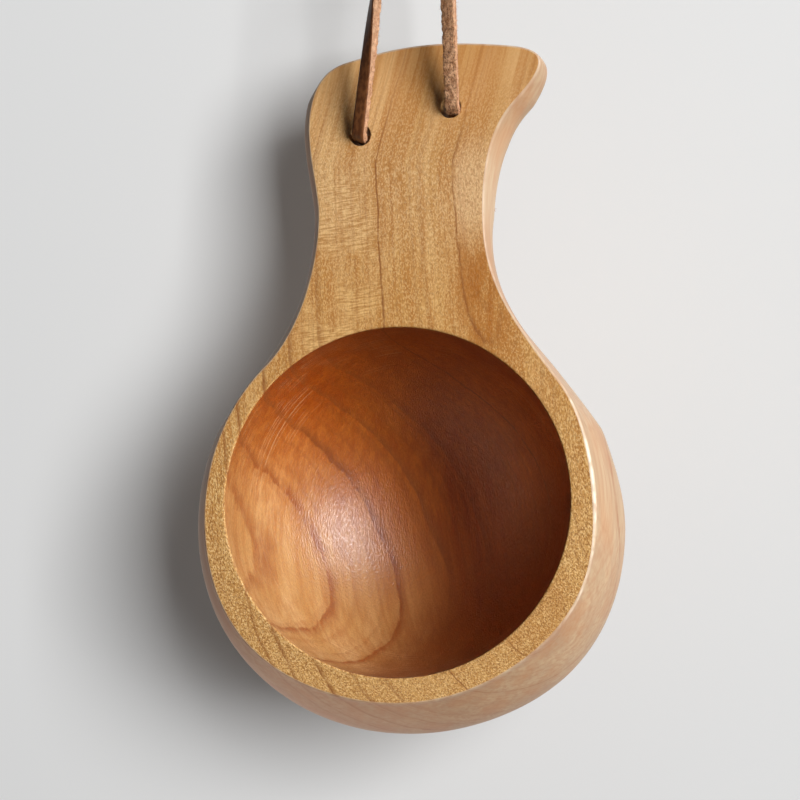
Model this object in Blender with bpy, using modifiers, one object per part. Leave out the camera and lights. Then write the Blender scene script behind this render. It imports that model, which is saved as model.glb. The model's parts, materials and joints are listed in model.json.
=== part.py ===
"""Kuksa: a drinking cup carved from one piece of light hardwood, hung by a leather lace.

The cup hangs at rest. Its lace goes over a peg at the origin, and the cup has turned on its
lace holes until its centre of mass lies straight below them. Lengths are in metres, +Z is up
and the mouth faces -Y. The cup itself is drawn upright, as x across, y behind the rim's face
and z towards the handle's end, with the centre of its mouth at zero.
"""

import math

import bmesh
import bpy
import numpy as np
from mathutils import Matrix, Vector
from mathutils.geometry import interpolate_bezier

MM = 0.001

# Bowl
MOUTH_DIAMETER = 82.0 * MM
CAVITY_FULLNESS = 2.2
RIM_WIDTH = 5.25 * MM
RIM_SHIFT_X = 0.65 * MM
RIM_SHIFT_Z = -0.75 * MM
BELLY_BULGE = 4.75 * MM
BELLY_DEPTH = 20.0 * MM
BELLY_SAG = 1.95 * MM
CUP_HEIGHT = 57.0 * MM
FLOOR_THICKNESS = 10.0 * MM
FOOT_DIAMETER = 48.0 * MM
FOOT_ROUND = 10.0 * MM
EDGE_ROUND = 1.5 * MM
MOUTH_ROUND = 1.1 * MM

# Handle, whose heights are measured up from the top of the rim or down from the handle's end
RIGHT_SHOULDER_DEG = 37.0
LEFT_SHOULDER_DEG = 134.0
HANDLE_LENGTH = 62.6 * MM
NECK_WIDTH = 41.8 * MM
NECK_SHIFT = 0.8 * MM
NECK_RISE = 22.5 * MM
END_LEFT = 22.3 * MM
END_RIGHT = 35.4 * MM
LEFT_SIDE_DROP = 19.2 * MM
LEFT_CORNER_DROP = 3.8 * MM
LEFT_CORNER_WIDTH = 10.2 * MM
TIP_DROP = 9.9 * MM
TIP_NOSE = 2.1 * MM
CROWN_DROP = 1.6 * MM
CROWN_FROM_TIP = 4.9 * MM
HANDLE_BULGE = 0.8 * MM
HANDLE_END_THICKNESS = 12.5 * MM
HANDLE_ROOT_THICKNESS = 17.0 * MM
HANDLE_UNDER_ROUND = 10.0 * MM
HANDLE_WALL_SHARE = 0.45
ROOT_FILLET = 14.0 * MM
ROOT_REACH = 27.75 * MM
ROOT_RUN_OUT = 1.5

# Lace
LACE_WIDTH = 3.2 * MM
LACE_THICKNESS = 2.2 * MM
LACE_EDGE = 0.5 * MM
LACE_GAP = 0.3 * MM
FACE_CLEARANCE = 0.5 * MM
PEG_DIAMETER = 12.0 * MM
LOOP_RISE = 48.0 * MM
LOOP_SHIFT = 4.8 * MM
TWIST_LENGTH = 32.0 * MM
KNOT_SQUEEZE = 0.75
LEFT_TAIL_LENGTH = 14.0 * MM
LEFT_TAIL_LEAN_DEG = -7.0
RIGHT_TAIL_LENGTH = 16.0 * MM
RIGHT_TAIL_LEAN_DEG = 11.0
TAIL_DROOP = 0.25

# Lace holes, which give the lace some play
HOLE_PLAY = 1.6 * MM
HOLE_CHAMFER = 0.5 * MM
HOLE_SPACING = 22.4 * MM
HOLE_SLANT_DEG = 15.3
HOLES_FROM_END = 18.2 * MM
HOLES_SHIFT = 2.2 * MM

# How finely the carved surfaces are cut
BOWL_STEPS = 40
SIDE_STEPS = 20
END_STEPS = 16
WALL_STEPS = 4
ROUND_STEPS = 3
BELLY_STEPS = 8
CAVITY_STEPS = 12
MOUTH_STEPS = 64
HOLE_STEPS = 20
OUTLINE_STEPS = 32
SANDING_PASSES = 10
SANDING_BITE = 0.5
LACE_TURN_DEG = 25.0
WELD = 0.01 * MM

for leftover in list(bpy.data.objects):
    bpy.data.objects.remove(leftover, do_unlink=True)

kuksa = bpy.data.collections.new("kuksa")
helpers = bpy.data.collections.new("cutters")
for collection in (kuksa, helpers):
    bpy.context.scene.collection.children.link(collection)

mouth_radius = MOUTH_DIAMETER / 2
rim_radius = mouth_radius + RIM_WIDTH
rim_centre = Vector((RIM_SHIFT_X, RIM_SHIFT_Z))
belly_radius = rim_radius + BELLY_BULGE
belly_centre = Vector((0.0, RIM_SHIFT_Z - BELLY_SAG))
foot_radius = FOOT_DIAMETER / 2
cavity_depth = CUP_HEIGHT - FLOOR_THICKNESS
rim_top = rim_centre.y + rim_radius
handle_end = rim_top + HANDLE_LENGTH
lace_reach = math.hypot(LACE_WIDTH / 2, LACE_THICKNESS / 2 - LACE_EDGE)
hole_radius = lace_reach + HOLE_PLAY / 2


def make_material(name, colour, roughness):
    """A plain finish: its colour and how matt it is."""
    material = bpy.data.materials.new(name)
    material.use_nodes = True
    shader = material.node_tree.nodes["Principled BSDF"]
    shader.inputs["Base Color"].default_value = (*colour, 1.0)
    shader.inputs["Roughness"].default_value = roughness
    shader.inputs["Metallic"].default_value = 0.0
    return material


def heading(degrees):
    return Vector((math.cos(math.radians(degrees)), math.sin(math.radians(degrees))))


# Plan outline of the carved face


def handle_outline():
    """The handle's edge in plan, from the right shoulder round its end to the left shoulder.

    Each knot has its place, the way the edge runs there, and how far its tangents reach back
    and on, as shares of the distance to the neighbouring knot.
    """
    neck = rim_top + NECK_RISE
    neck_left = NECK_SHIFT - NECK_WIDTH / 2
    neck_right = NECK_SHIFT + NECK_WIDTH / 2
    tip = Vector((END_RIGHT - TIP_NOSE, handle_end - TIP_DROP))
    crown = Vector((END_RIGHT - CROWN_FROM_TIP, handle_end - CROWN_DROP))
    corner = Vector((LEFT_CORNER_WIDTH - END_LEFT, handle_end - LEFT_CORNER_DROP))
    left_side = Vector((-END_LEFT, handle_end - LEFT_SIDE_DROP))
    right_shoulder = rim_centre + rim_radius * heading(RIGHT_SHOULDER_DEG)
    left_shoulder = rim_centre + rim_radius * heading(LEFT_SHOULDER_DEG)
    knots = [
        (right_shoulder, RIGHT_SHOULDER_DEG + 90, 0.0, 0.38),
        (Vector((neck_right, neck)), 90, 0.30, 0.40),
        (tip, 48, 0.40, 0.71),
        (crown, 170, 0.37, 0.35),
        (corner, 200, 0.30, 0.52),
        (left_side, 270, 0.29, 0.34),
        (Vector((neck_left, neck)), 270, 0.26, 0.33),
        (left_shoulder, LEFT_SHOULDER_DEG + 90, 0.28, 0.0),
    ]
    stretches = []
    for (start, start_way, _, reach_on), (stop, stop_way, reach_back, _) in zip(knots, knots[1:]):
        gap = (stop - start).length
        leave = start + heading(start_way) * reach_on * gap
        arrive = stop - heading(stop_way) * reach_back * gap
        stretches.append([p.xy for p in interpolate_bezier(start, leave, arrive, stop, OUTLINE_STEPS + 1)])
    return stretches


def along(points, shares):
    """Points at the given shares of a polyline's length."""
    line = np.array([tuple(p) for p in points])
    run = np.concatenate([[0.0], np.cumsum(np.linalg.norm(np.diff(line, axis=0), axis=1))])
    wanted = np.asarray(shares) * run[-1]
    return [Vector((np.interp(w, run, line[:, 0]), np.interp(w, run, line[:, 1]))) for w in wanted]


def joined(stretches):
    points = list(stretches[0])
    for stretch in stretches[1:]:
        points += stretch[1:]
    return points


def face_outline():
    """The face's edge in plan, anticlockwise: bowl, right side, handle end and left side.

    The handle's corners fall half way round its tip and its left corner, and the points crowd
    towards both, where the edge bends most.
    """
    stretches = handle_outline()
    half = len(stretches[2]) // 2
    tip_start, tip_stop = stretches[2][: half + 1], stretches[2][half:]
    corner_start, corner_stop = stretches[4][: half + 1], stretches[4][half:]
    ease_out = [1 - (1 - i / SIDE_STEPS) ** 1.5 for i in range(SIDE_STEPS + 1)]
    ease_both = [(1 - math.cos(math.pi * i / END_STEPS)) / 2 for i in range(END_STEPS + 1)]
    right = along(joined([stretches[0], stretches[1], tip_start]), ease_out)
    end = along(joined([tip_stop, stretches[3], corner_start]), ease_both)
    left_points = joined([corner_stop, stretches[5], stretches[6]])
    left = along(left_points, [1 - share for share in reversed(ease_out)])
    turn = RIGHT_SHOULDER_DEG + 360 - LEFT_SHOULDER_DEG
    bowl = [
        rim_centre + rim_radius * heading(LEFT_SHOULDER_DEG + turn * i / BOWL_STEPS)
        for i in range(BOWL_STEPS)
    ]
    return bowl + right[:-1] + end[:-1] + left[:-1]


def outward(points):
    """The outward direction at each point of a closed anticlockwise line."""
    count = len(points)
    ways = []
    for i in range(count):
        run = points[(i + 1) % count] - points[i - 1]
        ways.append(Vector((run.y, -run.x)).normalized())
    return ways


def smooth(share):
    share = min(max(share, 0.0), 1.0)
    return share * share * (3 - 2 * share)


def belly_outline(points, ways):
    """Where the wall stands out furthest: a round belly on the bowl, a slight swell on the handle.

    Above each shoulder the belly dies away along the handle's side.
    """
    fade_run = NECK_RISE
    outline = []
    for i, (point, way) in enumerate(zip(points, ways)):
        from_centre = (point - rim_centre).normalized()
        bowl = belly_centre - rim_centre + BELLY_BULGE * from_centre
        on_handle = smooth(((point - rim_centre).length - rim_radius) / fade_run)
        if i <= BOWL_STEPS:
            on_handle = 0.0
        outline.append(point + bowl.lerp(HANDLE_BULGE * way, on_handle))
    return outline


def make_depth(edge):
    """The depth of the carved underside below the face, as a function of a place in plan.

    The bowl's is a quarter ellipse from belly to foot. The handle's is a rounded slab that
    grows thicker towards the bowl. A smooth maximum of both gives the fillet at its root.
    """
    starts = np.array([tuple(p) for p in edge])
    runs = np.roll(starts, -1, axis=0) - starts
    run_squares = np.maximum((runs**2).sum(axis=1), 1e-18)
    core = max(foot_radius - FOOT_ROUND, 0.0)
    foot_share = (foot_radius - core) / (belly_radius - core)
    below_belly = (CUP_HEIGHT - BELLY_DEPTH) / math.sqrt(1 - foot_share**2)

    def edge_distance(place):
        offsets = np.array(place) - starts
        shares = np.clip((offsets * runs).sum(axis=1) / run_squares, 0, 1)
        return float(np.linalg.norm(offsets - shares[:, None] * runs, axis=1).min())

    def bowl_depth(place):
        radius = (place - belly_centre).length
        if radius > belly_radius - WELD:
            return BELLY_DEPTH - ROOT_RUN_OUT * (radius - belly_radius)
        share = max(radius - core, 0.0) / (belly_radius - core)
        return BELLY_DEPTH + below_belly * math.sqrt(1 - share**2)

    def handle_depth(place):
        up = min(max((place.y - rim_top) / HANDLE_LENGTH, 0.0), 1.0)
        thickness = HANDLE_ROOT_THICKNESS + (HANDLE_END_THICKNESS - HANDLE_ROOT_THICKNESS) * up
        share = min(edge_distance(place) / HANDLE_UNDER_ROUND, 1.0)
        crown = HANDLE_WALL_SHARE + (1 - HANDLE_WALL_SHARE) * math.sqrt(1 - (1 - share) ** 2)
        below_root = max(rim_top - ROOT_REACH - place.y, 0.0)
        return thickness * crown - ROOT_RUN_OUT * below_root

    def depth(place):
        bowl, handle = bowl_depth(place), handle_depth(place)
        overlap = max(ROOT_FILLET - abs(bowl - handle), 0.0)
        return max(bowl, handle) + overlap**2 / (4 * ROOT_FILLET)

    return depth


face = face_outline()
ways = outward(face)
edge = belly_outline(face, ways)
depth = make_depth(edge)


# Cup


def coons_patch(near, right, far, left):
    """Rows of points inside four edges that meet at their ends, from the near row to the far row."""
    rows = len(right) - 1
    columns = len(near) - 1
    patch = []
    for j in range(rows + 1):
        q = j / rows
        row = []
        for i in range(columns + 1):
            p = i / columns
            sides = right[j].lerp(left[j], p) + near[i].lerp(far[i], q)
            corners = near[0].lerp(near[-1], p).lerp(far[0].lerp(far[-1], p), q)
            row.append(sides - corners)
        patch.append(row)
    return patch


def add_row(mesh, places, depths):
    return [mesh.verts.new((p.x, d, p.y)) for p, d in zip(places, depths)]


def skin(mesh, row, next_row, closed=True):
    """Faces between two rows of as many points."""
    count = len(row)
    for i in range(count if closed else count - 1):
        k = (i + 1) % count
        mesh.faces.new((row[i], row[k], next_row[k], next_row[i]))


def centre_of_mass(mesh):
    """The centre of a closed mesh's volume, from the tetrahedra on its triangles."""
    total = 0.0
    centre = Vector()
    for a, b, c in ([loop.vert.co for loop in tri] for tri in mesh.calc_loop_triangles()):
        volume = a.dot(b.cross(c)) / 6
        total += volume
        centre += (a + b + c) * volume / 4
    return centre / total


def carve_cup():
    """The cup in one piece: flat face, rounded edge, walls, underside, foot and hollow."""
    mesh = bmesh.new()
    edge_depths = [BELLY_DEPTH if i <= BOWL_STEPS else depth(p) for i, p in enumerate(edge)]

    rows = []
    for i in range(ROUND_STEPS + 1):
        angle = math.pi / 2 * i / ROUND_STEPS
        inset = EDGE_ROUND * (1 - math.sin(angle))
        drop = EDGE_ROUND * (1 - math.cos(angle))
        rows.append(add_row(mesh, [p - w * inset for p, w in zip(face, ways)], [drop] * len(face)))
    for i in range(1, WALL_STEPS + 1):
        share = i / WALL_STEPS
        swell = math.sin(math.pi / 2 * share)
        places = [p.lerp(e, swell) for p, e in zip(face, edge)]
        drops = [EDGE_ROUND + (d - EDGE_ROUND) * share for d in edge_depths]
        rows.append(add_row(mesh, places, drops))
    for row, next_row in zip(rows, rows[1:]):
        skin(mesh, row, next_row)
    wall = rows[-1]

    # Underside of the handle, between the belly's arc at its root and the edge on three sides
    first, tip, corner = BOWL_STEPS, BOWL_STEPS + SIDE_STEPS, BOWL_STEPS + SIDE_STEPS + END_STEPS
    sector = LEFT_SHOULDER_DEG - RIGHT_SHOULDER_DEG
    arc_degrees = [RIGHT_SHOULDER_DEG + sector * i / END_STEPS for i in range(END_STEPS + 1)]
    arc = [belly_centre + belly_radius * heading(a) for a in arc_degrees]
    ring = list(range(len(edge))) + [0]
    right = [edge[i] for i in ring[first : tip + 1]]
    far = [edge[i] for i in ring[tip : corner + 1]]
    left = [edge[i] for i in reversed(ring[corner:])]
    patch = coons_patch(arc, right, far, left)
    grid = []
    for j, places in enumerate(patch):
        if j == SIDE_STEPS:
            grid.append([wall[i] for i in ring[tip : corner + 1]])
            continue
        inner = add_row(mesh, places[1:-1], [depth(p) for p in places[1:-1]])
        grid.append([wall[ring[first + j]], *inner, wall[ring[len(ring) - 1 - j]]])
    for row, next_row in zip(grid, grid[1:]):
        skin(mesh, row, next_row, closed=False)

    # Underside of the bowl, ring by ring from the belly down to the flat foot
    bowl_turn = 360 - sector
    degrees = [LEFT_SHOULDER_DEG + bowl_turn * i / BOWL_STEPS for i in range(BOWL_STEPS)]
    degrees += [a + 360 for a in arc_degrees[:-1]]
    core = max(foot_radius - FOOT_ROUND, 0.0)
    foot_angle = math.acos((foot_radius - core) / (belly_radius - core))
    below = wall[:BOWL_STEPS] + grid[0][:-1]
    for i in range(1, BELLY_STEPS + 1):
        radius = core + (belly_radius - core) * math.cos(foot_angle * i / BELLY_STEPS)
        places = [belly_centre + radius * heading(a) for a in degrees]
        next_row = add_row(mesh, places, [depth(p) for p in places])
        skin(mesh, below, next_row)
        below = next_row
    mesh.faces.new(below)

    # The root of the handle is sanded until the belly runs into it
    low, high = rim_top - ROOT_REACH, rim_top + NECK_RISE
    root = [
        vert
        for vert in mesh.verts
        if low < vert.co.z < high and 2 * EDGE_ROUND < vert.co.y < CUP_HEIGHT - FOOT_ROUND
    ]
    for _ in range(SANDING_PASSES):
        bmesh.ops.smooth_vert(
            mesh, verts=root, factor=SANDING_BITE, use_axis_x=True, use_axis_y=True, use_axis_z=True
        )

    # Hollow, from the rounded lip down to the middle of its bottom
    ring_ways = [heading(360 * i / MOUTH_STEPS) for i in range(MOUTH_STEPS)]
    hollow = []
    for i in range(ROUND_STEPS + 1):
        angle = math.pi / 2 * i / ROUND_STEPS
        radius = mouth_radius + MOUTH_ROUND * (1 - math.sin(angle))
        drop = MOUTH_ROUND * (1 - math.cos(angle))
        hollow.append(add_row(mesh, [w * radius for w in ring_ways], [drop] * MOUTH_STEPS))
    for i in range(1, CAVITY_STEPS):
        angle = math.pi / 2 * i / CAVITY_STEPS
        radius = mouth_radius * math.cos(angle) ** (2 / CAVITY_FULLNESS)
        sunk = math.sin(angle) ** (2 / CAVITY_FULLNESS)
        drop = MOUTH_ROUND + (cavity_depth - MOUTH_ROUND) * sunk
        hollow.append(add_row(mesh, [w * radius for w in ring_ways], [drop] * MOUTH_STEPS))
    for row, next_row in zip(hollow, hollow[1:]):
        skin(mesh, row, next_row)
    bottom = mesh.verts.new((0.0, cavity_depth, 0.0))
    for i in range(MOUTH_STEPS):
        mesh.faces.new((hollow[-1][i], hollow[-1][(i + 1) % MOUTH_STEPS], bottom))

    # Flat face of rim and handle, between the outer edge and the lip
    loops = [(row[i], row[(i + 1) % len(row)]) for row in (rows[0], hollow[0]) for i in range(len(row))]
    mesh.verts.index_update()
    border = [mesh.edges.get(pair) for pair in loops]
    bmesh.ops.triangle_fill(mesh, edges=border, use_beauty=True, normal=(0, -1, 0))
    bmesh.ops.recalc_face_normals(mesh, faces=mesh.faces)
    return mesh


cup_mesh = carve_cup()
cup_centre = centre_of_mass(cup_mesh)

# The lace bends at the mouths of its holes, so the cup swings on the line through them
hole_way = heading(HOLE_SLANT_DEG)
holes_middle = Vector((HOLES_SHIFT, handle_end - HOLES_FROM_END))
left_hole = holes_middle - hole_way * HOLE_SPACING / 2
right_hole = holes_middle + hole_way * HOLE_SPACING / 2
lace_offset = hole_radius - lace_reach - LACE_GAP
lace_lift = LACE_THICKNESS / 2 + FACE_CLEARANCE
pivot_in_cup = Vector((holes_middle.x, -lace_lift, holes_middle.y + lace_offset))
hang_tilt = math.atan2(cup_centre.y - pivot_in_cup.y, pivot_in_cup.z - cup_centre.z)

swing_axis = bpy.data.objects.new("swing_axis", None)
swing_axis.empty_display_size = HOLE_SPACING
swing_axis.location = (-LOOP_SHIFT, 0.0, -LOOP_RISE)
swing_axis.rotation_euler = (-hang_tilt, 0.0, 0.0)
kuksa.objects.link(swing_axis)


def hang_in_cup(thing):
    """Places an object drawn in the cup's own coordinates, so that it swings with the cup."""
    thing.parent = swing_axis
    thing.location = -pivot_in_cup


cup_data = bpy.data.meshes.new("cup_body")
cup_mesh.to_mesh(cup_data)
cup_mesh.free()
cup_data.shade_smooth()
cup_data.set_sharp_from_angle(angle=math.radians(30))
cup_body = bpy.data.objects.new("cup_body", cup_data)
cup_data.materials.append(make_material("oiled_wood", (0.53, 0.30, 0.12), 0.45))
kuksa.objects.link(cup_body)
hang_in_cup(cup_body)


def drill_hole(name, place):
    """A hole right through the handle, with a small chamfer at the face."""
    reach = HANDLE_ROOT_THICKNESS + ROOT_FILLET
    profile = [
        (0.0, 0.0, HOLE_CHAMFER),
        (hole_radius + 2 * HOLE_CHAMFER, 0.0, HOLE_CHAMFER),
        (hole_radius, 0.0, -HOLE_CHAMFER),
        (hole_radius, 0.0, -reach),
        (0.0, 0.0, -reach),
    ]
    data = bpy.data.meshes.new(name)
    data.from_pydata(profile, [(i, i + 1) for i in range(len(profile) - 1)], [])
    cutter = bpy.data.objects.new(name, data)
    helpers.objects.link(cutter)
    turn = cutter.modifiers.new("turn", "SCREW")
    turn.steps = turn.render_steps = HOLE_STEPS
    turn.use_merge_vertices = True
    turn.merge_threshold = WELD
    cutter.hide_render = True
    cutter.display_type = "WIRE"
    hang_in_cup(cutter)
    cutter.location += Vector((place.x, 0.0, place.y))
    cutter.rotation_euler = (math.pi / 2, 0.0, 0.0)
    cut = cup_body.modifiers.new(name, "BOOLEAN")
    cut.operation = "DIFFERENCE"
    cut.solver = "EXACT"
    cut.object = cutter


drill_hole("left_lace_hole", left_hole)
drill_hole("right_lace_hole", right_hole)


# Lace


def smooth_route(points):
    """A smooth curve through the route's points, with a new point wherever it has turned enough."""
    route = [2 * points[0] - points[1], *points, 2 * points[-1] - points[-2]]
    curve = []
    for before, start, stop, after in zip(route, route[1:], route[2:], route[3:]):
        leave, arrive = (stop - before) / 6, (after - start) / 6
        count = math.ceil(math.degrees(leave.angle(arrive)) / LACE_TURN_DEG) + 1
        curve += interpolate_bezier(start, start + leave, stop - arrive, stop, count + 1)[:-1]
    return [*curve, points[-1]]


def tangents(points):
    steps = [(b - a).normalized() for a, b in zip(points, points[1:])]
    return [(a + b).normalized() for a, b in zip([steps[0], *steps], [*steps, steps[-1]])]


def turned_from_rest(points, wanted):
    """How far a curve's section turns at each point to bring its width to the wanted way.

    At rest Blender carries the section along the curve without twist.
    """
    way = (-tangents(points)[0]).to_track_quat("-Z", "Y") @ Vector((1.0, 0.0, 0.0))
    last = tangents(points)[0]
    turns = []
    for run, aim in zip(tangents(points), wanted):
        way = last.rotation_difference(run) @ way
        last = run
        turns.append(math.atan2(run.dot(way.cross(aim)), way.dot(aim)))
    return turns


def cut_lace_section():
    """The lace across: a flat strip with its four edges eased."""
    half_width, half_thickness = LACE_WIDTH / 2, LACE_THICKNESS / 2
    quarter = [(half_width, half_thickness - LACE_EDGE), (half_width - LACE_EDGE, half_thickness)]
    half = quarter + [(-x, y) for x, y in reversed(quarter)]
    corners = half + [(-x, -y) for x, y in half]
    data = bpy.data.curves.new("lace_section", "CURVE")
    spline = data.splines.new("POLY")
    spline.points.add(len(corners) - 1)
    for point, (x, y) in zip(spline.points, reversed(corners)):
        point.co = (x, y, 0.0, 1.0)
    spline.use_cyclic_u = True
    section = bpy.data.objects.new("lace_section", data)
    section.hide_render = True
    section.display_type = "WIRE"
    helpers.objects.link(section)
    return section


lace_section = cut_lace_section()
leather = make_material("lace_leather", (0.16, 0.065, 0.03), 0.6)


def lay_lace(name, points, turns, sizes):
    """A stretch of lace along the points, turned and squeezed at each as given."""
    data = bpy.data.curves.new(name, "CURVE")
    data.dimensions = "3D"
    data.bevel_mode = "OBJECT"
    data.bevel_object = lace_section
    data.use_fill_caps = True
    spline = data.splines.new("POLY")
    spline.points.add(len(points) - 1)
    for point, place, turn, size in zip(spline.points, points, turns, sizes):
        point.co = (*place, 1.0)
        point.tilt = turn
        point.radius = size
    data.materials.append(leather)
    lace = bpy.data.objects.new(name, data)
    kuksa.objects.link(lace)
    return lace


def loop_over_peg():
    """The free loop: up from the left hole, over the peg and down to the right hole.

    It lies flat on the peg, and each side turns a quarter on its way down to its hole.
    """
    to_right = Matrix.Rotation(-hang_tilt, 3, "X") @ Vector((hole_way.x, 0.0, hole_way.y))
    left_bend = swing_axis.location - to_right * HOLE_SPACING / 2
    right_bend = swing_axis.location + to_right * HOLE_SPACING / 2
    peg = Vector((0.0, 0.0, -PEG_DIAMETER / 2))
    over = PEG_DIAMETER / 2 + LACE_THICKNESS / 2
    arc = []
    for degrees in (180, 135, 90, 45, 0):
        way = heading(degrees)
        arc.append(peg + over * Vector((way.x, 0.0, way.y)))
    clear = LACE_THICKNESS / 2 + LACE_GAP
    left_start = left_bend + (arc[0] - left_bend).normalized() * clear
    right_start = right_bend + (arc[-1] - right_bend).normalized() * clear
    rises = (0.2, 0.4, 0.6, 0.8)
    route = [left_start, *[left_start.lerp(arc[0], rise) for rise in rises], *arc]
    route += [*[arc[-1].lerp(right_start, rise) for rise in rises], right_start]
    points = smooth_route(route)
    turns = turned_from_rest(points, [Vector((0.0, 1.0, 0.0))] * len(points))
    for i, point in enumerate(points):
        on_left = i < len(points) / 2
        hole_end = left_start if on_left else right_start
        twist = math.pi / 2 * (1 - smooth((point - hole_end).length / TWIST_LENGTH))
        turns[i] += twist if on_left else -twist
    lay_lace("lace_loop", points, turns, [1.0] * len(points))


loop_over_peg()

# An overhand knot and its way into the tail, in units of half the lace's greatest width: away
# from the handle's back, to the side, and down the tail
KNOT_ROUTE = [
    (2.1, -0.1, 0.0),
    (3.75, 0.0, -0.1),
    (4.8, 1.3, 0.0),
    (4.3, 3.05, 0.1),
    (2.65, 3.5, 0.5),
    (1.35, 2.6, 1.3),
    (1.05, 0.95, 1.9),
    (1.05, -0.8, 1.75),
    (1.4, -1.95, 0.7),
    (2.0, -1.9, -0.9),
    (2.6, -0.6, -1.9),
    (2.95, 0.95, -1.7),
    (3.0, 1.65, -0.25),
    (3.0, 1.7, 1.4),
    (2.9, 1.75, 3.3),
]


def least_gap(points):
    """The least distance between two places along a route that aren't neighbours."""
    line = np.array([tuple(p) for p in points])
    run = np.concatenate([[0.0], np.cumsum(np.linalg.norm(np.diff(line, axis=0), axis=1))])
    apart = np.abs(run[:, None] - run[None, :]) > 3 * LACE_WIDTH
    distances = np.linalg.norm(line[:, None] - line[None, :], axis=2)
    return float(distances[apart].min())


def knotted_end(name, hole, lean, tail_length):
    """The lace from its bend at the face, through the hole, to a stopper knot and a short tail."""
    bend = Vector((hole.x, -lace_lift, hole.y + lace_offset))
    away = Vector((0.0, 1.0, 0.0))
    side = Vector((heading(lean).x, 0.0, heading(lean).y))
    down = Vector((heading(lean - 90).x, 0.0, heading(lean - 90).y))
    back = bend + away * (lace_lift + depth(hole))
    knot = [back + (a * away + b * side + c * down) * lace_reach for a, b, c in KNOT_ROUTE]
    tail_end = knot[-1] + (down + TAIL_DROOP * away).normalized() * tail_length
    tail = [knot[-1].lerp(tail_end, share) for share in (0.33, 0.67, 1.0)]
    through = [bend.lerp(back, share) for share in (0.0, 0.33, 0.67, 1.0)]
    run = smooth_route([*through, *knot, *tail])
    passed = [smooth((point.y - bend.y) / (back.y - bend.y)) for point in run]
    domed = (0.97, 0.8, 0.45)
    points = [bend - away * LACE_THICKNESS / 2 * share for share in domed] + run
    sizes = [math.sqrt(1 - share**2) for share in domed]
    sizes += [1 - (1 - KNOT_SQUEEZE) * share for share in passed]
    flat = turned_from_rest(points, [Vector((hole_way.x, 0.0, hole_way.y))])
    hang_in_cup(lay_lace(name, points, flat * len(points), sizes))
    gap = least_gap(run) - 2 * lace_reach * KNOT_SQUEEZE
    print(f"{name}: least gap to itself {gap / MM:.2f} mm")


knotted_end("lace_left_end", left_hole, LEFT_TAIL_LEAN_DEG, LEFT_TAIL_LENGTH)
knotted_end("lace_right_end", right_hole, RIGHT_TAIL_LEAN_DEG, RIGHT_TAIL_LENGTH)
print(f"the cup hangs at {math.degrees(hang_tilt):.2f} degrees from upright")
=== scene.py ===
"""Kuksa: a drinking cup carved from one piece of light hardwood, hung by a leather lace."""

import json
import math

import bmesh
import bpy
import numpy as np
from mathutils import Matrix, Vector, noise
from mathutils.geometry import delaunay_2d_cdt


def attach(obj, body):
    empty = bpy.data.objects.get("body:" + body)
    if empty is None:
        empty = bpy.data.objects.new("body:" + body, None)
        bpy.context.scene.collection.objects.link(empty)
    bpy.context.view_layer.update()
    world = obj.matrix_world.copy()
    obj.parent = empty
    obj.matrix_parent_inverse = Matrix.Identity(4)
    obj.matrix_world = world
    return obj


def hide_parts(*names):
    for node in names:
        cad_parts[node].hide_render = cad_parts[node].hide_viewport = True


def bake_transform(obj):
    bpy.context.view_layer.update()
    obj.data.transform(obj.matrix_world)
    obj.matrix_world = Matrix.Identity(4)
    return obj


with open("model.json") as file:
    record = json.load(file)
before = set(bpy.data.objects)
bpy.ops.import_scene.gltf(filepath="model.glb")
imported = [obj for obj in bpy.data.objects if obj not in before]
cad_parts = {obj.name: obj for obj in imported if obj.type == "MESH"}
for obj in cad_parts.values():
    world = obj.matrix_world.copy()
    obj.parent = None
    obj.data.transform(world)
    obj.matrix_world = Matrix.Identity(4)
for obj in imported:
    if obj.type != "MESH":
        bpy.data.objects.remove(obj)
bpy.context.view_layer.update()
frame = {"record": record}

bpy.context.scene.view_settings.view_transform = "Standard"

# Cup
# One block of light hardwood. The hollow is turned and scraped, bowl and handle are carved and
# sanded to one flowing form, and two lace holes are drilled through the handle before oiling.
MM = 0.001
MOUTH_RADIUS = 41.0
CAVITY_FULLNESS = 2.2
RIM_RADIUS = 46.25
RIM_CENTRE = np.array([0.65, -0.75])
BELLY_BULGE = 4.75
BELLY_DEPTH = 20.0
BELLY_RADIUS = RIM_RADIUS + BELLY_BULGE
BELLY_CENTRE = np.array([0.0, -2.7])
CUP_HEIGHT = 57.0
FLOOR_THICKNESS = 10.0
FOOT_RADIUS = 24.0
FOOT_ROUND = 10.0
EDGE_ROUND = 0.45
MOUTH_ROUND = 0.45
WORN_ROUND = 0.6
WORN_MIDDLE, WORN_WIDTH = 3.0, 16.0
RIM_SWELLS = ((218.0, 29.0, 2.3), (331.0, 22.0, 1.3), (36.0, 15.0, 1.1))
BELLY_SWELLS = ((217.0, 36.0, 1.4), (322.0, 27.0, 1.9), (17.0, 13.0, -0.8))

RIGHT_SHOULDER = 37.0
LEFT_SHOULDER = 134.0
HANDLE_LENGTH = 62.6
NECK_LEFT, NECK_RIGHT = -18.8, 21.0
NECK_RISE = 22.5
SHOULDER_BLEND = 15.0
END_LEFT, HOOK_RIGHT = -21.2, 28.9
SIDE_BULGES = ((6.0, 0.0), (12.0, 0.5), (26.0, 1.3), (40.0, 2.3), (50.0, 2.2), (58.6, 0.3))
LEFT_BULGE = 2.3
ROOT_SCOOP = 4.2
SCOOP_FROM, SCOOP_RISE = -18.0, 14.0
SCOOP_TO, SCOOP_FADE = 22.0, 27.0
HANDLE_END_THICKNESS = 12.5
HANDLE_ROOT_THICKNESS = 17.0
HANDLE_UNDER_ROUND = 10.0
HANDLE_WALL_SHARE = 0.56
ROOT_FILLET = 14.0
ROOT_REACH = 27.75
ROOT_RUN_OUT = 1.5
RIM_TOP = RIM_CENTRE[1] + RIM_RADIUS
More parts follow.
